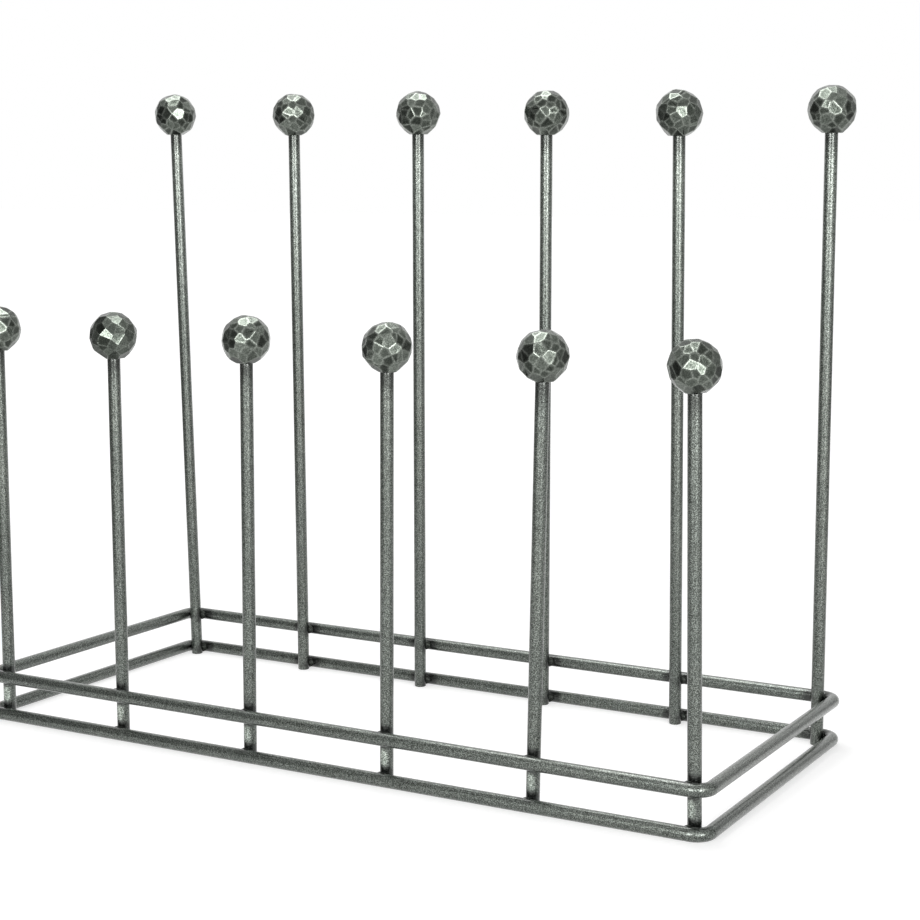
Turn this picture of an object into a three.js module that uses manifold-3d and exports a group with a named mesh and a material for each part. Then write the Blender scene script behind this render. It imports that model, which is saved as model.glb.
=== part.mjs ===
// Boot rack for six pairs of boots, welded from round steel bar. Millimetres, +Z up.
//
// Two bent bar loops, one on the floor and one just above it, hold two rows of uprights.
// The uprights stand inside the loops and are welded to their long sides. Each upright ends
// in a hammered ball that a boot hangs over, and the rear row is the taller one.
// The origin is on the floor under the middle of the rack's overall length and depth, +X is
// along the rack and -Y is its front.

import * as THREE from 'three';
import { ConvexHull } from 'three/addons/math/ConvexHull.js';
import { mergeVertices } from 'three/addons/utils/BufferGeometryUtils.js';
import Module from 'manifold-3d';

const wasm = await Module();
wasm.setup();

// Driving dimensions

const UPRIGHTS_PER_ROW = 6;
const UPRIGHT_SPACING = 120;
const UPRIGHT_DIAMETER = 10;
const ROW_DISTANCE = 248;
const REAR_HEIGHT = 504.5;
const FRONT_HEIGHT = 334.5;

const LOOP_BAR_DIAMETER = 10;
const BEND_RADIUS = 11;
const UPPER_LOOP_HEIGHT = 35.5;

const BALL_DIAMETER = 36.5;
const BALL_FACETS = 88;
const STRAY_SHARE = 1.25;
const SHALLOW_BLOW = 0.4;
const DEEP_BLOW = 0.8;
const SEAT_MARGIN = 0.6;
const SOCKET_DEPTH = 9;

const WELD_LENGTH = 16;
const WELD_DEPTH = 6.4;
const WELD_EDGE = 0.4;

const END_CHAMFER = 0.8;
const FIT_GAP = 0.3;
const CUT_OVERRUN = 2;

// The uprights are cut and welded by hand. Each one is a little off its place along the rack, off
// its row's height and out of plumb, as shares of the largest stray, rise and lean.

const LARGEST_STRAY = 2.6;
const FRONT_STRAY_SHARES = [0, -1, -0.3, 0.1, 0, 0.45];
const REAR_STRAY_SHARES = [0.6, 0, 0.4, 0, -0.3, -0.65];
const LARGEST_RISE = 2.4;
const FRONT_RISE_SHARES = [0, -0.3, 0.6, 0.5, 0.3, -0.45];
const REAR_RISE_SHARES = [1, 0.4, 0.3, -0.3, -0.95, -0.45];
const LARGEST_LEAN = THREE.MathUtils.degToRad(1.5);
const FRONT_LEAN_SHARES = [0, -0.09, 0.23, 0.26, 0.72, -0.66];
const REAR_LEAN_SHARES = [-1, -0.3, -0.05, 0, -0.36, -0.07];

// Finishes

const BAR_COLOUR = 0x666d69;
const BALL_COLOUR = 0x5c625f;
const WELD_COLOUR = 0x3f4442;
const BAR_ROUGHNESS = 0.5;
const BALL_ROUGHNESS = 0.38;
const WELD_ROUGHNESS = 0.7;
const STEEL_METALNESS = 0.9;

// Facet counts

const BAR_SIDES = 16;
const BEND_STEPS = 8;
const SOCKET_SIDES = 16;
const WELD_SIDES = 10;
const WELD_RINGS = 6;

// Derived sizes and places

const uprightRadius = UPRIGHT_DIAMETER / 2;
const loopRadius = LOOP_BAR_DIAMETER / 2;
const ballRadius = BALL_DIAMETER / 2;
const socketRadius = uprightRadius + FIT_GAP;
const lowerLoopHeight = loopRadius;
const leanHeight = (lowerLoopHeight + UPPER_LOOP_HEIGHT) / 2;

// An upright's axis lies this far inside the axis of the long bar that it is welded to
const bindDistance = loopRadius + uprightRadius + FIT_GAP;
// The corner uprights stand just before the long bar runs into its bend, lean and all
const leanReach = Math.tan(LARGEST_LEAN) * (UPPER_LOOP_HEIGHT - leanHeight);
const cornerDistance = Math.max(BEND_RADIUS, bindDistance) + leanReach + FIT_GAP;
const halfRow = ((UPRIGHTS_PER_ROW - 1) * UPRIGHT_SPACING) / 2;
const loopHalfDepth = ROW_DISTANCE / 2 + bindDistance;

// The ball's flat seat, where the upright goes in
const seatRadius = socketRadius + SEAT_MARGIN;
const seatDrop = Math.sqrt(ballRadius ** 2 - seatRadius ** 2);

function rowOf(name, outward, height, strayShares, riseShares, leanShares) {
  const uprights = Array.from({ length: UPRIGHTS_PER_ROW }, (_, place) => ({
    x: place * UPRIGHT_SPACING - halfRow + LARGEST_STRAY * strayShares[place % strayShares.length],
    ballHeight: height - ballRadius + LARGEST_RISE * riseShares[place % riseShares.length],
    lean: LARGEST_LEAN * leanShares[place % leanShares.length],
  }));
  const halfLength = Math.max(...uprights.map(({ x }) => Math.abs(x))) + cornerDistance;
  return { name, outward, y: outward * (ROW_DISTANCE / 2), uprights, halfLength };
}

const FRONT = rowOf(
  'front', -1, FRONT_HEIGHT, FRONT_STRAY_SHARES, FRONT_RISE_SHARES, FRONT_LEAN_SHARES,
);
const REAR = rowOf('rear', 1, REAR_HEIGHT, REAR_STRAY_SHARES, REAR_RISE_SHARES, REAR_LEAN_SHARES);

const LOOPS = [
  { name: 'lower', height: lowerLoopHeight },
  { name: 'upper', height: UPPER_LOOP_HEIGHT },
];

// Joining and cutting

function toSolid(geometry) {
  const bare = geometry.clone();
  bare.deleteAttribute('normal');
  bare.deleteAttribute('uv');
  const merged = mergeVertices(bare);
  return new wasm.Manifold(new wasm.Mesh({
    numProp: 3,
    vertProperties: new Float32Array(merged.attributes.position.array),
    triVerts: new Uint32Array(merged.index.array),
  }));
}

function toGeometry(solid) {
  const mesh = solid.getMesh();
  const geometry = new THREE.BufferGeometry();
  geometry.setAttribute('position', new THREE.BufferAttribute(mesh.vertProperties, mesh.numProp));
  geometry.setIndex(new THREE.BufferAttribute(mesh.triVerts, 1));
  geometry.computeVertexNormals();
  return geometry;
}

// A closed geometry from corner points and faces that list them counterclockwise
function facedGeometry(corners, faces) {
  const geometry = new THREE.BufferGeometry();
  geometry.setFromPoints(corners);
  geometry.setIndex(faces.flatMap((face) => fan(face)));
  geometry.computeVertexNormals();
  return geometry;
}

function fan(face) {
  const triangles = [];
  for (let i = 2; i < face.length; i += 1) {
    triangles.push(face[0], face[i - 1], face[i]);
  }
  return triangles;
}

// A profile of radius and height turned about +Z
function turned(profile, sides) {
  const points = profile.map(([radius, height]) => new THREE.Vector2(radius, height));
  return new THREE.LatheGeometry(points, sides).rotateX(Math.PI / 2);
}

// Tips a geometry along the rack about the height where the two loops hold the upright
function leaning(geometry, lean) {
  const slope = Math.tan(lean);
  const shear = new THREE.Matrix4().makeShear(0, 0, 0, 0, slope, 0);
  const shift = new THREE.Matrix4().makeTranslation(-slope * leanHeight, 0, 0);
  return geometry.applyMatrix4(shift.multiply(shear));
}

// Bar loops

// The bar's axis with the outward direction at each station, once round the four bends
function loopStations() {
  const stations = [];
  const bendY = loopHalfDepth - BEND_RADIUS;
  const signs = [[1, 1], [-1, 1], [-1, -1], [1, -1]];
  signs.forEach(([signX, signY], corner) => {
    const bendX = (signY > 0 ? REAR : FRONT).halfLength - BEND_RADIUS;
    for (let step = 0; step <= BEND_STEPS; step += 1) {
      const angle = (corner + step / BEND_STEPS) * (Math.PI / 2);
      const outward = new THREE.Vector3(Math.cos(angle), Math.sin(angle), 0);
      const centre = new THREE.Vector3(signX * bendX, signY * bendY, 0);
      stations.push({ outward, point: centre.addScaledVector(outward, BEND_RADIUS) });
    }
  });
  return stations;
}

function loopGeometry(height, radius) {
  const stations = loopStations();
  const up = new THREE.Vector3(0, 0, 1);
  const corners = [];
  const faces = [];
  stations.forEach(({ point, outward }, ring) => {
    const nextRing = (ring + 1) % stations.length;
    for (let side = 0; side < BAR_SIDES; side += 1) {
      const angle = (side / BAR_SIDES) * Math.PI * 2;
      const nextSide = (side + 1) % BAR_SIDES;
      corners.push(
        point.clone()
          .addScaledVector(outward, radius * Math.cos(angle))
          .addScaledVector(up, radius * Math.sin(angle) + height),
      );
      faces.push([
        ring * BAR_SIDES + side,
        nextRing * BAR_SIDES + side,
        nextRing * BAR_SIDES + nextSide,
        ring * BAR_SIDES + nextSide,
      ]);
    }
  });
  return facedGeometry(corners, faces);
}

// Uprights

function uprightGeometry(ballHeight) {
  const top = ballHeight - seatDrop + SOCKET_DEPTH - FIT_GAP;
  return turned([
    [0, 0],
    [uprightRadius - END_CHAMFER, 0],
    [uprightRadius, END_CHAMFER],
    [uprightRadius, top - END_CHAMFER],
    [uprightRadius - END_CHAMFER, top],
    [0, top],
  ], BAR_SIDES);
}

// The room that an upright takes out of a weld bead
function uprightHoleGeometry(ballHeight) {
  return turned([
    [0, -CUT_OVERRUN],
    [uprightRadius + FIT_GAP, -CUT_OVERRUN],
    [uprightRadius + FIT_GAP, ballHeight],
    [0, ballHeight],
  ], BAR_SIDES);
}

// Hammered balls

// Repeatable random shares from 0 to 1, a series of its own for each ball
function shareSeries(seed) {
  const modulus = 2147483647;
  const multiplier = 48271;
  let state = seed * multiplier;
  return () => {
    state = (state * multiplier) % modulus;
    return state / modulus;
  };
}

// The planes that the hammer leaves: the seat below, then blows spread over the rest of the ball
function hammerPlanes(nextShare) {
  const planes = [{ normal: new THREE.Vector3(0, 0, -1), distance: seatDrop }];
  const facetAngle = Math.sqrt(4 / BALL_FACETS);
  const seatAngle = Math.asin(seatRadius / ballRadius);
  const lowest = -Math.cos(seatAngle + facetAngle);
  const goldenAngle = Math.PI * (3 - Math.sqrt(5));
  const startAngle = nextShare() * Math.PI * 2;
  for (let blow = 0; blow < BALL_FACETS; blow += 1) {
    const height = THREE.MathUtils.lerp(1, lowest, (blow + 0.5) / BALL_FACETS);
    const turn = startAngle + blow * goldenAngle;
    const reach = Math.sqrt(1 - height ** 2);
    const normal = new THREE.Vector3(reach * Math.cos(turn), reach * Math.sin(turn), height);
    const stray = new THREE.Vector3(nextShare() - 0.5, nextShare() - 0.5, nextShare() - 0.5);
    normal.addScaledVector(stray, STRAY_SHARE * facetAngle).normalize();
    normal.setZ(Math.max(normal.z, lowest)).normalize();
    const depth = THREE.MathUtils.lerp(SHALLOW_BLOW, DEEP_BLOW, nextShare());
    planes.push({ normal, distance: ballRadius - depth });
  }
  return planes;
}

// The solid inside all the planes. Each triangle of the hull of the planes' poles is one
// corner of the solid, and the triangles round a pole are the corners of that plane's facet.
function solidInside(planes) {
  const poles = planes.map(({ normal, distance }) => (
    normal.clone().multiplyScalar(ballRadius / distance)
  ));
  const hull = new ConvexHull().setFromPoints(poles);
  const corners = hull.faces.map((face) => (
    face.normal.clone().multiplyScalar(ballRadius / face.constant)
  ));
  const facets = [];
  planes.forEach(({ normal }, index) => {
    const around = [];
    hull.faces.forEach((face, corner) => {
      const touched = [0, 1, 2].some((edge) => face.getEdge(edge).head().point === poles[index]);
      if (touched) {
        around.push(corner);
      }
    });
    if (around.length < 3) {
      return;
    }
    const middle = new THREE.Vector3();
    around.forEach((corner) => middle.addScaledVector(corners[corner], 1 / around.length));
    const across = corners[around[0]].clone().sub(middle).normalize();
    const along = normal.clone().cross(across);
    const bearing = (corner) => {
      const offset = corners[corner].clone().sub(middle);
      return Math.atan2(offset.dot(along), offset.dot(across));
    };
    facets.push(around.sort((a, b) => bearing(a) - bearing(b)));
  });
  return facedGeometry(corners, facets);
}

// The blind hole that the upright's end goes into, with a drilled point
function socketGeometry() {
  const drillPoint = socketRadius / Math.sqrt(3);
  return turned([
    [0, -CUT_OVERRUN],
    [socketRadius, -CUT_OVERRUN],
    [socketRadius, SOCKET_DEPTH],
    [0, SOCKET_DEPTH + drillPoint],
  ], SOCKET_SIDES);
}

function ballGeometry(seed) {
  const ball = toSolid(solidInside(hammerPlanes(shareSeries(seed))));
  const socket = toSolid(socketGeometry().translate(0, 0, -seatDrop));
  return toGeometry(ball.subtract(socket));
}

// Weld beads

// A flat lump of weld round the point where an upright at the origin touches its long bar
function weldLump(outward) {
  return new THREE.SphereGeometry(1, WELD_SIDES, WELD_RINGS)
    .rotateX(Math.PI / 2)
    .scale(WELD_LENGTH / 2, WELD_DEPTH / 2, loopRadius - WELD_EDGE)
    .translate(0, outward * (uprightRadius + FIT_GAP / 2), 0);
}

// Assembly

function steel(colour, roughness) {
  return new THREE.MeshStandardMaterial({ color: colour, roughness, metalness: STEEL_METALNESS });
}

function named(name, geometry, material) {
  const mesh = new THREE.Mesh(geometry, material);
  mesh.name = name;
  return mesh;
}

const rack = new THREE.Group();
const loopHoles = {};

for (const { name, height } of LOOPS) {
  rack.add(named(`${name}_loop`, loopGeometry(height, loopRadius), steel(BAR_COLOUR, BAR_ROUGHNESS)));
  loopHoles[name] = toSolid(loopGeometry(height, loopRadius + FIT_GAP));
}

[FRONT, REAR].forEach((row, rowIndex) => {
  row.uprights.forEach(({ x, ballHeight, lean }, place) => {
    const label = `${row.name}_${place + 1}`;
    const stand = (geometry) => leaning(geometry, lean).translate(x, row.y, 0);

    const upright = stand(uprightGeometry(ballHeight));
    rack.add(named(`upright_${label}`, upright, steel(BAR_COLOUR, BAR_ROUGHNESS)));

    const seed = rowIndex * UPRIGHTS_PER_ROW + place + 1;
    const ball = stand(ballGeometry(seed).translate(0, 0, ballHeight));
    rack.add(named(`ball_${label}`, ball, steel(BALL_COLOUR, BALL_ROUGHNESS)));

    const uprightHole = toSolid(stand(uprightHoleGeometry(ballHeight)));
    for (const loop of LOOPS) {
      const leanShift = Math.tan(lean) * (loop.height - leanHeight);
      const lump = toSolid(weldLump(row.outward).translate(x + leanShift, row.y, loop.height));
      const weld = toGeometry(lump.subtract(uprightHole).subtract(loopHoles[loop.name]));
      rack.add(named(`weld_${loop.name}_${label}`, weld, steel(WELD_COLOUR, WELD_ROUGHNESS)));
    }
  });
});

// The leaning corner balls reach past the loops, so the overall size decides where the middle is
const middle = new THREE.Box3().setFromObject(rack).getCenter(new THREE.Vector3());
rack.position.set(-middle.x, -middle.y, 0);

export default rack;
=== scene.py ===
import math
import random

import bmesh
import bpy
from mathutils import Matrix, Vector, noise


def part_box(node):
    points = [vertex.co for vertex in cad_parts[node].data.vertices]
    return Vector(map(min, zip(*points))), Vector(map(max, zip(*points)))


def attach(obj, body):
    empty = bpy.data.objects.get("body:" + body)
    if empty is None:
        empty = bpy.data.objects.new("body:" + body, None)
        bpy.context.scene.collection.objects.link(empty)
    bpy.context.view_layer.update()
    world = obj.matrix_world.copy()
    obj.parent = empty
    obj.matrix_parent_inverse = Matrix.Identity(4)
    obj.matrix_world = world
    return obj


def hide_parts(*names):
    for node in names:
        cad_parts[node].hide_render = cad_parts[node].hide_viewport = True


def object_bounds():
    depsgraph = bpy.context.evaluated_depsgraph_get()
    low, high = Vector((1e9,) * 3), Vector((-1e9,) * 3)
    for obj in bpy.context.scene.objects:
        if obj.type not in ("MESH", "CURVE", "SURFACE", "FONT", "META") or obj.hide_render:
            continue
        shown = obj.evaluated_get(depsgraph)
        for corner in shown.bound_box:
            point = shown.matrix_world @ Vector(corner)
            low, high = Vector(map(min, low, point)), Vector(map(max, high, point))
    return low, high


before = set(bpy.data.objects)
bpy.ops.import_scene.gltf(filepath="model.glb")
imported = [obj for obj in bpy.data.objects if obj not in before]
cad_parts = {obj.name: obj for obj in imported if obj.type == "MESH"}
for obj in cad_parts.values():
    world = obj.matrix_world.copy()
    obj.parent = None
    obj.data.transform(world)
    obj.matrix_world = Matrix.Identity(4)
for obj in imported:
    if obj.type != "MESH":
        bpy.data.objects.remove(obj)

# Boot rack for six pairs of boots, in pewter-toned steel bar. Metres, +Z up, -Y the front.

cad_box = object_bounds()

MM = 0.001

# Camera, as the photograph sees the rack

PHOTO_SIZE = 920
FOCAL_PIXELS = 1998
SENSOR_WIDTH = 36
CAMERA_PLACE = (805.2 * MM, -1317.9 * MM, 442.3 * MM)
CAMERA_AZIMUTH = 29.605
CAMERA_PITCH = 8.319
CLIP_START = 0.05
CLIP_END = 100

# Bars

BAR_SIDES = 40
BAR_STEP = 12 * MM
BAR_UNEVENNESS = 0.06 * MM
BAR_WAVE = 45 * MM
WAVE_SHIFT_PER_SEED = (1.7, 3.1, 0.9)
BEND_RADIUS = 11 * MM
BEND_STEPS = 12
END_ROUND = 0.7 * MM
END_ROUND_MIDDLE = 0.3
FAR_FROM_BALLS = 1

# Corners of a solid that are this near to where a bend starts, or to an end face, count as on it
BEND_MARGIN = 0.1 * MM
END_FACE_MARGIN = 0.05 * MM

# Hammered balls

SAME_POINT = 0.001 * MM
FLAT_ANGLE = math.radians(1)
SHORTEST_RIDGE = 0.8 * MM
RIDGE_WIDTH = 0.5 * MM
RIDGE_SEGMENTS = 2
RIDGE_PROFILE = 0.5
RIDGE_FOOT = 0.5
DISH_EDGE = 1.2 * MM
DISH_EDGE_SHARE = 0.55
DISH_DEPTH = 0.07 * MM
FLAT_NORMAL_WEIGHT = 70

# Weld beads

WELD_SUBDIVISIONS = 4
WELD_WRAP = 1.5  # deeper than the solid by this factor, to wrap round both bars
WELD_RIPPLE = 0.35 * MM
WELD_RIPPLE_SIZE = 2.2 * MM
WELD_RIPPLE_SPREAD = 10
WELD_GROWTH = 0.15 * MM

ROOT = "root"
LEVELS = ("lower", "upper")
ROWS = ("front", "rear")
UPRIGHT_NUMBERS = range(1, 7)


# Scene and mesh helpers

def add_object(name, data):
    thing = bpy.data.objects.new(name, data)
    bpy.context.scene.collection.objects.link(thing)
    return thing


def add_mesh_object(name, bm, material):
    mesh = bpy.data.meshes.new(name)
    bm.to_mesh(mesh)
    bm.free()
    mesh.materials.append(material)
    return add_object(name, mesh)


def new_piece(name, bm, material, node):
    """A named piece from a bmesh, smooth, that stands for a CAD node and rides on the rack."""
    bmesh.ops.recalc_face_normals(bm, faces=bm.faces)
    piece = add_mesh_object(name, bm, material)
    for face in piece.data.polygons:
        face.use_smooth = True
    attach(piece, ROOT)
    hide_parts(node)
    return piece


def unevenness(point, seed):
    """A small slow wave in a bar's surface, at most 1 either way."""
    offset = Vector([seed * shift for shift in WAVE_SHIFT_PER_SEED])
    return noise.noise(point / BAR_WAVE + offset)


def add_ring(bm, centre, across, up, radius, seed):
    """A ring of corners round a bar. The unevenness only dents it, so it stays inside its solid."""
    ring = []
    for side in range(BAR_SIDES):
        angle = 2 * math.pi * side / BAR_SIDES
        outward = across * math.cos(angle) + up * math.sin(angle)
        place = centre + outward * radius
        dent = BAR_UNEVENNESS * (unevenness(place, seed) - 1)
        ring.append(bm.verts.new(place + outward * dent))
    return ring


def join_rings(bm, first, second):
    count = len(first)
    for side in range(count):
        following = (side + 1) % count
        bm.faces.new((first[side], first[following], second[following], second[side]))


# Uprights

def upright_ends(node):
    """The middles of the upright's lowest and highest faces, and its radius."""
    corners = [vertex.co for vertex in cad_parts[node].data.vertices]
    low = min(corner.z for corner in corners)
    high = max(corner.z for corner in corners)
    ends = []
    for height in (low, high):
        ring = [corner for corner in corners if abs(corner.z - height) < END_FACE_MARGIN]
        middle_x = (min(corner.x for corner in ring) + max(corner.x for corner in ring)) / 2
        middle_y = (min(corner.y for corner in ring) + max(corner.y for corner in ring)) / 2
        ends.append(Vector((middle_x, middle_y, height)))
    lowest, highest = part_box(node)
    return ends[0], ends[1], (highest[1] - lowest[1]) / 2


def make_upright(node, seed, material):
    """A straight bar with rounded ends. "below_ball" is the distance from its top, in metres."""
    bottom, top, radius = upright_ends(node)
    axis = top - bottom
    across = Vector((1, 0, 0))
    up = Vector((0, 1, 0))
    bm = bmesh.new()
    below_ball = bm.verts.layers.float.new("below_ball")
    round_middle = END_ROUND * END_ROUND_MIDDLE
    stations = [(0, radius - END_ROUND), (round_middle, radius - round_middle), (END_ROUND, radius)]
    steps = round(axis.length / BAR_STEP)
    for step in range(1, steps):
        stations.append((axis.length * step / steps, radius))
    stations.append((axis.length - END_ROUND, radius))
    stations.append((axis.length, radius - END_ROUND))
    rings = []
    for distance, size in stations:
        centre = bottom + axis * (distance / axis.length)
        ring = add_ring(bm, centre, across, up, size, seed)
        for vertex in ring:
            vertex[below_ball] = axis.length - distance
        rings.append(ring)
    for first, second in zip(rings, rings[1:]):
        join_rings(bm, first, second)
    bm.faces.new(list(reversed(rings[0])))
    bm.faces.new(rings[-1])
    return new_piece(node + "_bar", bm, material, node)


# Loops

def loop_stations(half_lengths, half_depth):
    """Points and outward directions along a loop's axis, round its bends and along its sides.

    half_lengths are those of the front side and of the slightly shorter rear side.
    """
    stations = []
    front, rear = half_lengths
    corners = [(rear, 1), (-rear, 1), (-front, -1), (front, -1)]
    middles = []
    for reach, sign_y in corners:
        shift = math.copysign(BEND_RADIUS, reach)
        middles.append(Vector((reach - shift, sign_y * (half_depth - BEND_RADIUS), 0)))
    for corner, centre in enumerate(middles):
        for step in range(BEND_STEPS + 1):
            angle = (corner + step / BEND_STEPS) * math.pi / 2
            outward = Vector((math.cos(angle), math.sin(angle), 0))
            stations.append((centre + outward * BEND_RADIUS, outward))
        start = stations[-1][0]
        finish = middles[(corner + 1) % len(middles)] + outward * BEND_RADIUS
        steps = round((finish - start).length / BAR_STEP)
        for step in range(1, steps):
            stations.append((start.lerp(finish, step / steps), outward))
    return stations


def make_loop(node, seed, material):
    lowest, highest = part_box(node)
    radius = (highest[2] - lowest[2]) / 2
    middle = (Vector(lowest) + Vector(highest)) / 2
    half_depth = (highest[1] - lowest[1]) / 2 - radius
    corners = [vertex.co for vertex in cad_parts[node].data.vertices]
    side_start = half_depth - BEND_RADIUS - BEND_MARGIN
    half_lengths = []
    for side in (-1, 1):
        near = [corner for corner in corners if side * (corner.y - middle.y) > side_start]
        half_lengths.append(max(abs(corner.x - middle.x) for corner in near) - radius)
    bm = bmesh.new()
    below_ball = bm.verts.layers.float.new("below_ball")
    up = Vector((0, 0, 1))
    rings = []
    for point, outward in loop_stations(half_lengths, half_depth):
        rings.append(add_ring(bm, middle + point, outward, up, radius, seed))
    for index, ring in enumerate(rings):
        join_rings(bm, ring, rings[(index + 1) % len(rings)])
        for vertex in ring:
            vertex[below_ball] = FAR_FROM_BALLS
    return new_piece(node + "_bar", bm, material, node)


# Hammered balls

def outer_facets(node):
    """The ball's flat facets as a bmesh, without the socket.

    On and just above the flat seat, a few of the solid's own faces can stay behind beside the hull's.
    """
    bm = bmesh.new()
    bm.from_mesh(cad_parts[node].data)
    bmesh.ops.remove_doubles(bm, verts=bm.verts, dist=SAME_POINT)
    result = bmesh.ops.convex_hull(bm, input=bm.verts)
    inside = [item for item in result["geom_interior"] if isinstance(item, bmesh.types.BMVert)]
    bmesh.ops.delete(bm, geom=inside, context="VERTS")
    loose = [vertex for vertex in bm.verts if not vertex.link_faces]
    bmesh.ops.delete(bm, geom=loose, context="VERTS")
    bmesh.ops.dissolve_limit(bm, angle_limit=FLAT_ANGLE, verts=bm.verts, edges=bm.edges)
    bmesh.ops.remove_doubles(bm, verts=bm.verts, dist=SHORTEST_RIDGE)
    return bm


def make_ball(node, seed, material):
    """A hammered ball. "ridge" is 1 on the ridges' crests and 0 in the dishes, "tone" a facet's own shade."""
    bm = outer_facets(node)
    ridge = bm.verts.layers.float.new("ridge")
    tone = bm.faces.layers.float.new("tone")
    draw = random.Random(seed)
    for face in bm.faces:
        face[tone] = draw.random()
    result = bmesh.ops.bevel(bm, geom=list(bm.edges), offset=RIDGE_WIDTH, offset_type="OFFSET",
                             segments=RIDGE_SEGMENTS, profile=RIDGE_PROFILE, affect="EDGES",
                             clamp_overlap=True)
    rounded = set(result["faces"])
    flats = [face for face in bm.faces if face not in rounded]
    flat_corners = set()
    for face in flats:
        flat_corners.update(face.verts)
    for vertex in bm.verts:
        vertex[ridge] = RIDGE_FOOT if vertex in flat_corners else 1
    for face in flats:
        half_breadth = 2 * face.calc_area() / face.calc_perimeter()
        edge = min(DISH_EDGE, DISH_EDGE_SHARE * half_breadth)
        ring = bmesh.ops.inset_individual(bm, faces=[face], thickness=edge, depth=-DISH_DEPTH)
        for side in ring["faces"]:
            side[tone] = face[tone]
        for vertex in face.verts:
            vertex[ridge] = 0
    piece = new_piece(node + "_hammered", bm, material, node)
    flatten = piece.modifiers.new("flat_facets", "WEIGHTED_NORMAL")
    flatten.weight = FLAT_NORMAL_WEIGHT
    return piece


# Weld beads

def make_weld(node, seed, material):
    lowest, highest = (Vector(corner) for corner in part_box(node))
    middle = (lowest + highest) / 2
    half = (highest - lowest) / 2
    half.y = half.y * WELD_WRAP
    bm = bmesh.new()
    bmesh.ops.create_icosphere(bm, subdivisions=WELD_SUBDIVISIONS, radius=1)
    draw = random.Random(seed)
    offset = Vector((draw.random(), draw.random(), draw.random())) * WELD_RIPPLE_SPREAD
    for vertex in bm.verts:
        outward = vertex.co.copy()
        place = Vector((outward.x * half.x, outward.y * half.y, outward.z * half.z))
        ripple = noise.noise(place / WELD_RIPPLE_SIZE + offset) * WELD_RIPPLE
        vertex.co = middle + place + outward * (ripple - WELD_GROWTH)
    return new_piece(node + "_bead", bm, material, node)


# Node helpers

MIX_FACTOR, MIX_FIRST, MIX_SECOND = 0, 6, 7
MIX_RESULT = 2


def node_material(name):
    material = bpy.data.materials.new(name)
    material.use_nodes = True
    tree = material.node_tree
    tree.nodes.clear()
    return material, tree


def add_node(tree, kind, **settings):
    node = tree.nodes.new(kind)
    for key, value in settings.items():
        if key in node.inputs:
            node.inputs[key].default_value = value
        else:
            setattr(node, key, value)
    return node


def set_surface(tree, shader):
    output = tree.nodes.new("ShaderNodeOutputMaterial")
    tree.links.new(shader, output.inputs["Surface"])


def grey(level):
    return (level, level, level)


def object_place(tree):
    return tree.nodes.new("ShaderNodeTexCoord").outputs["Object"]


def attribute(tree, name):
    return add_node(tree, "ShaderNodeAttribute", attribute_name=name).outputs["Fac"]


def ramp(tree, value, stops):
    """Maps a value through stops of (place, colour), where a number is a grey."""
    node = tree.nodes.new("ShaderNodeValToRGB")
    elements = node.color_ramp.elements
    while len(elements) < len(stops):
        elements.new(0.5)
    for element, (place, colour) in zip(elements, stops):
        element.position = place
        element.color = (*colour, 1) if isinstance(colour, tuple) else (*grey(colour), 1)
    tree.links.new(value, node.inputs["Fac"])
    return node.outputs["Color"]


def mix(tree, factor, first, second, blend="MIX"):
    node = tree.nodes.new("ShaderNodeMix")
    node.data_type = "RGBA"
    node.blend_type = blend
    for index, value in ((MIX_FACTOR, factor), (MIX_FIRST, first), (MIX_SECOND, second)):
        socket = node.inputs[index]
        if isinstance(value, (float, int)):
            socket.default_value = value
        elif isinstance(value, tuple):
            socket.default_value = (*value, 1)
        else:
            tree.links.new(value, socket)
    return node.outputs[MIX_RESULT]


def multiply(tree, first, second):
    return mix(tree, 1.0, first, second, "MULTIPLY")


def calculate(tree, operation, first, second=0.0):
    """A maths node on sockets or numbers."""
    node = add_node(tree, "ShaderNodeMath", operation=operation)
    for socket, value in zip(node.inputs, (first, second)):
        if isinstance(value, (float, int)):
            socket.default_value = value
        else:
            tree.links.new(value, socket)
    return node.outputs[0]


def map_range(tree, value, source, target, interpolation="LINEAR"):
    """Maps the source range of a value to the target range, and holds it past both ends."""
    node = add_node(tree, "ShaderNodeMapRange", interpolation_type=interpolation)
    for name, number in zip(("From Min", "From Max", "To Min", "To Max"), (*source, *target)):
        node.inputs[name].default_value = number
    tree.links.new(value, node.inputs["Value"])
    return node.outputs["Result"]


def fade(tree, value, span, high=1.0):
    """High up to the span's start, 0 from its end, and smooth between."""
    return map_range(tree, value, span, (high, 0.0), "SMOOTHSTEP")


def vector_length(tree, vector):
    node = add_node(tree, "ShaderNodeVectorMath", operation="LENGTH")
    tree.links.new(vector, node.inputs[0])
    return node.outputs["Value"]


# Metals

GRAIN_TURN = (0.17, 0.13, 0.15)  # so that the noise's lattice lies along no bar
SPECKLE_DETAIL = 1.0
SPECKLE_ROUGHNESS = 0.6
COAT_ROUGHNESS = 0.15
DARK_PEWTER = (0.034, 0.039, 0.033)


def grain(tree, place, size, detail=2.0, roughness=0.5):
    """Noise whose spots are about size metres across."""
    turned = add_node(tree, "ShaderNodeMapping", Rotation=GRAIN_TURN)
    tree.links.new(place, turned.inputs["Vector"])
    texture = add_node(tree, "ShaderNodeTexNoise", Scale=1 / size, Detail=detail, Roughness=roughness)
    tree.links.new(turned.outputs["Vector"], texture.inputs["Vector"])
    return texture.outputs["Fac"]


def fine_grain(tree, place, size):
    return grain(tree, place, size, SPECKLE_DETAIL, SPECKLE_ROUGHNESS)


def bump(tree, height, distance, strength, below=None):
    node = add_node(tree, "ShaderNodeBump", Strength=strength, Distance=distance)
    tree.links.new(height, node.inputs["Height"])
    if below is not None:
        tree.links.new(below, node.inputs["Normal"])
    return node.outputs["Normal"]


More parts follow.
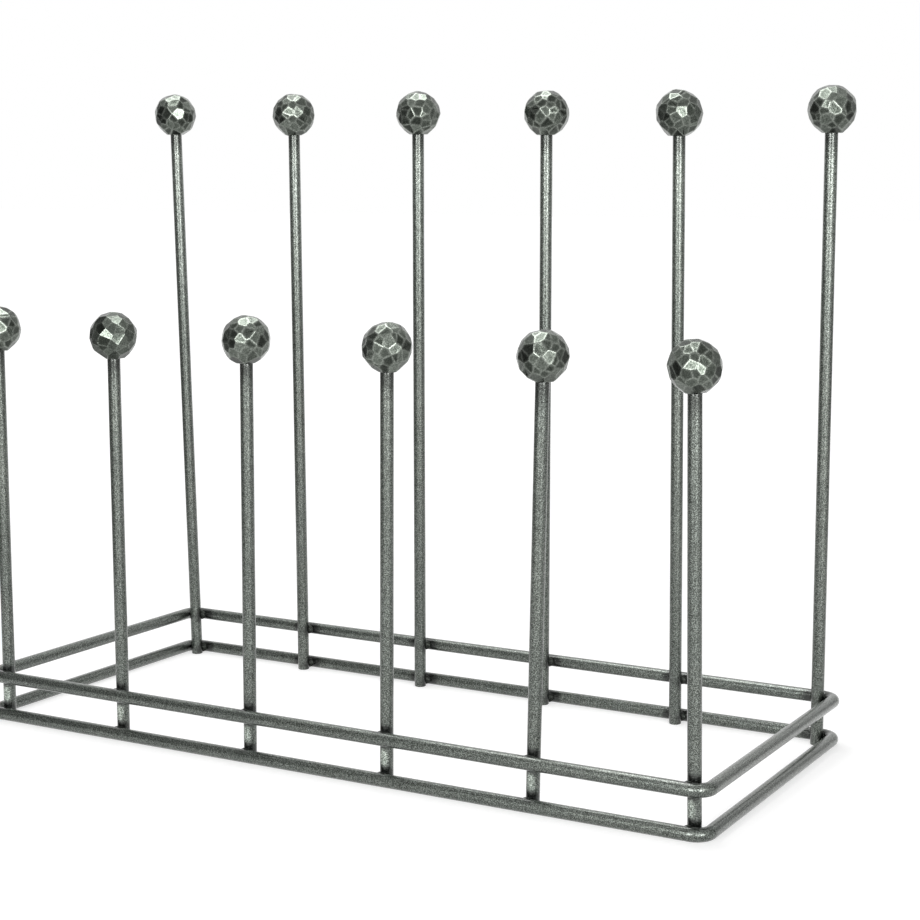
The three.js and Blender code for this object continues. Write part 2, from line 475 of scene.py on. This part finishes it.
def metal(tree, colour, roughness, normal, metallic=1.0, coat=0.0):
    shader = add_node(tree, "ShaderNodeBsdfPrincipled", Metallic=metallic)
    shader.inputs["Coat Weight"].default_value = coat
    shader.inputs["Coat Roughness"].default_value = COAT_ROUGHNESS
    tree.links.new(colour, shader.inputs["Base Color"])
    tree.links.new(roughness, shader.inputs["Roughness"])
    tree.links.new(normal, shader.inputs["Normal"])
    set_surface(tree, shader.outputs["BSDF"])


# Marks on the bars

# A dark, smooth zone round each weld and below each ball: partly the heat tint that welding leaves, partly
# painted shade where the bars meet and under the balls. It starts to fade and it ends at these distances from
# a weld's middle, and further off along the rack, or from an upright's top.
WELD_TINT_AND_SHADE = (7 * MM, 10.8 * MM)
WELD_TINT_AND_SHADE_STRETCH = 1.5
BALL_TINT_AND_SHADE = (11 * MM, 32 * MM)
BALL_TINT_AND_SHADE_SHARE = 0.8
TINT_AND_SHADE_LEVEL = 0.25
TINT_AND_SHADE_ROUGHNESS = 0.2

# A painted highlight: a bright, upright oval on each upright between the loops, on the side that faces them
STUB_HIGHLIGHT = (1.8 * MM, 4.5 * MM)
STUB_HIGHLIGHT_STRETCH = 2.1
STUB_HIGHLIGHT_GAIN = 2


def weld_middle(level, row, number):
    lowest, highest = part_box(f"weld_{level}_{row}_{number}")
    return (Vector(lowest) + Vector(highest)) / 2


def along_row(tree, x, row):
    """How far a place is, along the rack, from the nearest weld of a row."""
    start, end = cad_box[0][0], cad_box[1][0]
    welds = [(weld_middle("lower", row, number).x + weld_middle("upper", row, number).x) / 2
             for number in UPRIGHT_NUMBERS]
    between = [(first + second) / 2 for first, second in zip(welds, welds[1:])]
    stops = []
    for spot in sorted([start, end, *welds, *between]):
        stops.append(((spot - start) / (end - start), min(abs(spot - weld) for weld in welds)))
    return ramp(tree, map_range(tree, x, (start, end), (0, 1)), stops)


def distance_from(tree, along, across, height):
    offset = tree.nodes.new("ShaderNodeCombineXYZ")
    for value, socket in zip((along, across, height), offset.inputs):
        tree.links.new(value, socket)
    return vector_length(tree, offset.outputs[0])


def weld_tint_shade_and_highlight(tree, x, y, z):
    """How much of the welds' heat tint and painted shade, and of the painted highlight on the uprights
    between them, a place has.

    All welds lie at two heights, and as far from the rack's middle line in front as behind.
    """
    lower = weld_middle("lower", "front", 1)
    upper = weld_middle("upper", "front", 1)
    behind = calculate(tree, "GREATER_THAN", y)
    along = mix(tree, behind, along_row(tree, x, "front"), along_row(tree, x, "rear"))
    across = calculate(tree, "SUBTRACT", calculate(tree, "ABSOLUTE", y), abs(lower.y))
    heights = []
    for weld in (lower, upper):
        heights.append(calculate(tree, "ABSOLUTE", calculate(tree, "SUBTRACT", z, weld.z)))
    shorter = calculate(tree, "DIVIDE", along, WELD_TINT_AND_SHADE_STRETCH)
    from_weld = distance_from(tree, shorter, across, calculate(tree, "MINIMUM", *heights))
    from_middle = calculate(tree, "SUBTRACT", z, (lower.z + upper.z) / 2)
    flatter = calculate(tree, "DIVIDE", from_middle, STUB_HIGHLIGHT_STRETCH)
    from_stub = distance_from(tree, along, across, flatter)
    return fade(tree, from_weld, WELD_TINT_AND_SHADE), fade(tree, from_stub, STUB_HIGHLIGHT)


# Bar metal

BAR_GRAIN = 0.72 * MM
BAR_BLOTCH = 6 * MM
BAR_CLOUD = 60 * MM
BAR_SPECKLE = ((0.36, DARK_PEWTER), (0.5, (0.094, 0.106, 0.093)), (0.65, (0.3, 0.327, 0.3)))
BAR_PATINA = ((0.3, (0.85, 0.85, 0.84)), (0.7, 1.0))
BAR_DEPTH = ((0.3, (0.85, 0.87, 0.87)), (0.7, (1.0, 1.0, 0.99)))
# Painted light and shade: the bars' colour is lighter high up and darker low down
BAR_LIGHT_BY_HEIGHT = ((0.12, 0.92), (0.3, 0.97), (0.47, 1.4))  # heights in metres
BAR_ROUGHNESS = ((0.35, 0.34), (0.65, 0.28))
BAR_BUMP = (0.2 * MM, 0.8)
BAR_METALLIC = 0.8
BAR_COAT = 0.6


def bar_material():
    material, tree = node_material("pewter_bar")
    place = object_place(tree)
    axes = tree.nodes.new("ShaderNodeSeparateXYZ")
    tree.links.new(place, axes.inputs[0])
    x, y, z = axes.outputs
    fine = fine_grain(tree, place, BAR_GRAIN)
    speckle = ramp(tree, fine, BAR_SPECKLE)
    patina = ramp(tree, grain(tree, place, BAR_BLOTCH), BAR_PATINA)
    depth = ramp(tree, grain(tree, place, BAR_CLOUD), BAR_DEPTH)
    # Painted light and shade by height: lighter towards the top, darker low down
    painted_top_light = ramp(tree, z, BAR_LIGHT_BY_HEIGHT)
    # Round the welds: heat tint and painted shade; between the loops: a painted highlight
    weld_tint_and_shade, stub_highlight = weld_tint_shade_and_highlight(tree, x, y, z)
    # Painted shade under each ball, darkening the upright's top, together with the weld's heat tint
    ball_tint_and_shade = fade(tree, attribute(tree, "below_ball"), BALL_TINT_AND_SHADE, BALL_TINT_AND_SHADE_SHARE)
    tint_and_shade = calculate(tree, "MAXIMUM", weld_tint_and_shade, ball_tint_and_shade)
    # Painted highlight: brightens the colour of each upright between the loops
    stub_light = calculate(tree, "ADD", calculate(tree, "MULTIPLY", stub_highlight, STUB_HIGHLIGHT_GAIN), 1.0)
    colour = speckle
    for layer in (patina, depth, painted_top_light, stub_light):
        colour = multiply(tree, colour, layer)
    # Darkens the colour by the heat tint and the painted shade
    colour = mix(tree, tint_and_shade, colour, multiply(tree, colour, grey(TINT_AND_SHADE_LEVEL)))
    roughness = mix(tree, tint_and_shade, ramp(tree, fine, BAR_ROUGHNESS), grey(TINT_AND_SHADE_ROUGHNESS))
    metal(tree, colour, roughness, bump(tree, fine, *BAR_BUMP), BAR_METALLIC, BAR_COAT)
    return material


# Ball metal

BALL_GRAIN = 0.95 * MM
BALL_BLOTCH = 4 * MM
BALL_WEAR = 7 * MM
FACET_TONE = ((0.0, DARK_PEWTER), (0.7, (0.09, 0.101, 0.088)), (1.0, (0.135, 0.15, 0.132)))
RIDGE_COLOUR = (0.215, 0.233, 0.209)
RIDGE_WEAR = ((0.35, 0.6), (0.6, 1.05))
BALL_PATINA = ((0.3, (0.8, 0.81, 0.8)), (0.7, 1.15))
BALL_SPECKLE = ((0.32, (0.65, 0.66, 0.65)), (0.5, 1.0), (0.68, 1.45))
FACET_ROUGHNESS = ((0.35, 0.24), (0.7, 0.16))
RIDGE_ROUGHNESS = 0.28
BALL_WAVE_BUMP = (0.25 * MM, 0.6)
BALL_GRAIN_BUMP = (0.06 * MM, 0.6)


def ball_material():
    material, tree = node_material("pewter_ball")
    place = object_place(tree)
    fine = fine_grain(tree, place, BALL_GRAIN)
    blotch = grain(tree, place, BALL_BLOTCH)
    ridge = attribute(tree, "ridge")
    facet = ramp(tree, attribute(tree, "tone"), FACET_TONE)
    patina = ramp(tree, blotch, BALL_PATINA)
    speckle = ramp(tree, fine, BALL_SPECKLE)
    dark = multiply(tree, multiply(tree, facet, patina), speckle)
    light = multiply(tree, RIDGE_COLOUR, speckle)
    worn = multiply(tree, ridge, ramp(tree, grain(tree, place, BALL_WEAR), RIDGE_WEAR))
    colour = mix(tree, worn, dark, light)
    roughness = mix(tree, ridge, ramp(tree, fine, FACET_ROUGHNESS), grey(RIDGE_ROUGHNESS))
    wave = bump(tree, blotch, *BALL_WAVE_BUMP)
    metal(tree, colour, roughness, bump(tree, fine, *BALL_GRAIN_BUMP, below=wave))
    return material


# Weld metal

WELD_GRAIN = 0.8 * MM
WELD_GRAIN_DETAIL = 3.0
WELD_COLOUR = ((0.35, (0.009, 0.01, 0.009)), (0.7, (0.05, 0.055, 0.049)))
WELD_ROUGHNESS = ((0.35, 0.5), (0.7, 0.34))
WELD_BUMP = (0.15 * MM, 0.6)


def weld_material():
    material, tree = node_material("weld_bead")
    fine = grain(tree, object_place(tree), WELD_GRAIN, WELD_GRAIN_DETAIL)
    metal(tree, ramp(tree, fine, WELD_COLOUR), ramp(tree, fine, WELD_ROUGHNESS), bump(tree, fine, *WELD_BUMP))
    return material


# Studio

FLOOR_SIZE = 30
FLOOR_GAP = 0.05 * MM
FLOOR_GREY = 0.5
FLOOR_GLOW_SPAN = (0.5, 2.5)
FLOOR_GLOW = (0.62, 1)
WORLD_FILL = 0.2


def seen_directly(tree):
    """1 for rays that show the background: from the camera, and in gloss and glass."""
    path = tree.nodes.new("ShaderNodeLightPath")
    total = path.outputs["Is Camera Ray"]
    for name in ("Is Glossy Ray", "Is Transmission Ray"):
        total = calculate(tree, "MAXIMUM", total, path.outputs[name])
    return total


def diffuse(tree, shade_of_grey):
    shader = tree.nodes.new("ShaderNodeBsdfDiffuse")
    shader.inputs["Color"].default_value = (*grey(shade_of_grey), 1)
    return shader.outputs[0]


def make_floor():
    """A pale floor that keeps the rack's shadow, and glows towards white where the camera sees it."""
    material, tree = node_material("white_floor")
    distance = vector_length(tree, object_place(tree))
    level = map_range(tree, distance, FLOOR_GLOW_SPAN, FLOOR_GLOW)
    glow = tree.nodes.new("ShaderNodeEmission")
    tree.links.new(calculate(tree, "MULTIPLY", seen_directly(tree), level), glow.inputs["Strength"])
    both = tree.nodes.new("ShaderNodeAddShader")
    tree.links.new(diffuse(tree, FLOOR_GREY), both.inputs[0])
    tree.links.new(glow.outputs[0], both.inputs[1])
    set_surface(tree, both.outputs[0])
    bm = bmesh.new()
    bmesh.ops.create_grid(bm, x_segments=1, y_segments=1, size=FLOOR_SIZE / 2)
    floor = add_mesh_object("floor", bm, material)
    floor.location = (0, 0, cad_box[0][2] - FLOOR_GAP)


def make_world():
    world = bpy.data.worlds.new("studio")
    bpy.context.scene.world = world
    world.use_nodes = True
    tree = world.node_tree
    tree.nodes.clear()
    strength = map_range(tree, seen_directly(tree), (0, 1), (WORLD_FILL, 1))
    sky = tree.nodes.new("ShaderNodeBackground")
    sky.inputs["Color"].default_value = (*grey(1), 1)
    tree.links.new(strength, sky.inputs["Strength"])
    output = tree.nodes.new("ShaderNodeOutputWorld")
    tree.links.new(sky.outputs[0], output.inputs["Surface"])


def direction(azimuth, elevation):
    """A unit vector away from the rack. Azimuth 0 is straight in front, 90 is to its right."""
    turn = math.radians(azimuth)
    rise = math.radians(elevation)
    return Vector((math.sin(turn) * math.cos(rise), -math.cos(turn) * math.cos(rise), math.sin(rise)))


def face_middle(thing, azimuth, elevation, distance):
    """Stands a thing off the rack's middle and turns it to face that."""
    target = (Vector(cad_box[0]) + Vector(cad_box[1])) / 2
    way = direction(azimuth, elevation)
    thing.location = target + way * distance
    thing.rotation_euler = (-way).to_track_quat("-Z", "Y").to_euler()


def softbox(name, azimuth, elevation, distance, width, height, radiance):
    lamp = bpy.data.lights.new(name, "AREA")
    lamp.shape = "RECTANGLE"
    lamp.size = width
    lamp.size_y = height
    lamp.energy = radiance * math.pi * width * height
    face_middle(add_object(name, lamp), azimuth, elevation, distance)


def dark_card(name, azimuth, distance, width, height, shade_of_grey):
    """A grey card beside the rack, as photographers stand up to darken the edges of round metal."""
    material, tree = node_material(name)
    set_surface(tree, diffuse(tree, shade_of_grey))
    bm = bmesh.new()
    bmesh.ops.create_grid(bm, x_segments=1, y_segments=1, size=0.5)
    bmesh.ops.scale(bm, vec=(width, height, 1), verts=bm.verts)
    card = add_mesh_object(name, bm, material)
    face_middle(card, azimuth, 0, distance)
    card.location.z = cad_box[0][2] + height / 2
    card.visible_camera = False
    card.visible_diffuse = False
    card.visible_shadow = False


def make_lamps():
    softbox("overhead", azimuth=CAMERA_AZIMUTH + 196, elevation=74, distance=1.8,
            width=1.2, height=1.15, radiance=6)
    softbox("front_left", azimuth=CAMERA_AZIMUTH - 26, elevation=15.5, distance=3.2,
            width=1.15, height=1.5, radiance=9.6)
    softbox("front_right", azimuth=CAMERA_AZIMUTH + 24, elevation=12, distance=3.2,
            width=1.35, height=1.45, radiance=9.2)
    dark_card("left_card", azimuth=CAMERA_AZIMUTH - 91, distance=0.8, width=1.45, height=1,
              shade_of_grey=0.38)
    dark_card("right_card", azimuth=CAMERA_AZIMUTH + 95, distance=1.1, width=1, height=1,
              shade_of_grey=0.65)


def make_camera():
    lens = bpy.data.cameras.new("camera")
    lens.sensor_width = SENSOR_WIDTH
    lens.lens = FOCAL_PIXELS * SENSOR_WIDTH / PHOTO_SIZE
    lens.clip_start = CLIP_START
    lens.clip_end = CLIP_END
    camera = add_object("camera", lens)
    camera.location = CAMERA_PLACE
    camera.rotation_euler = (math.radians(90 - CAMERA_PITCH), 0, math.radians(CAMERA_AZIMUTH))
    bpy.context.scene.camera = camera


# Assembly

def dress_rack():
    bars = bar_material()
    balls = ball_material()
    welds = weld_material()
    seed = 0
    for level in LEVELS:
        seed += 1
        make_loop(f"{level}_loop", seed, bars)
    for row in ROWS:
        for number in UPRIGHT_NUMBERS:
            seed += 1
            make_upright(f"upright_{row}_{number}", seed, bars)
            make_ball(f"ball_{row}_{number}", seed, balls)
            for level in LEVELS:
                make_weld(f"weld_{level}_{row}_{number}", seed, welds)


make_camera()
make_world()
make_floor()
make_lamps()
dress_rack()
bpy.context.scene.view_settings.view_transform = "Standard"
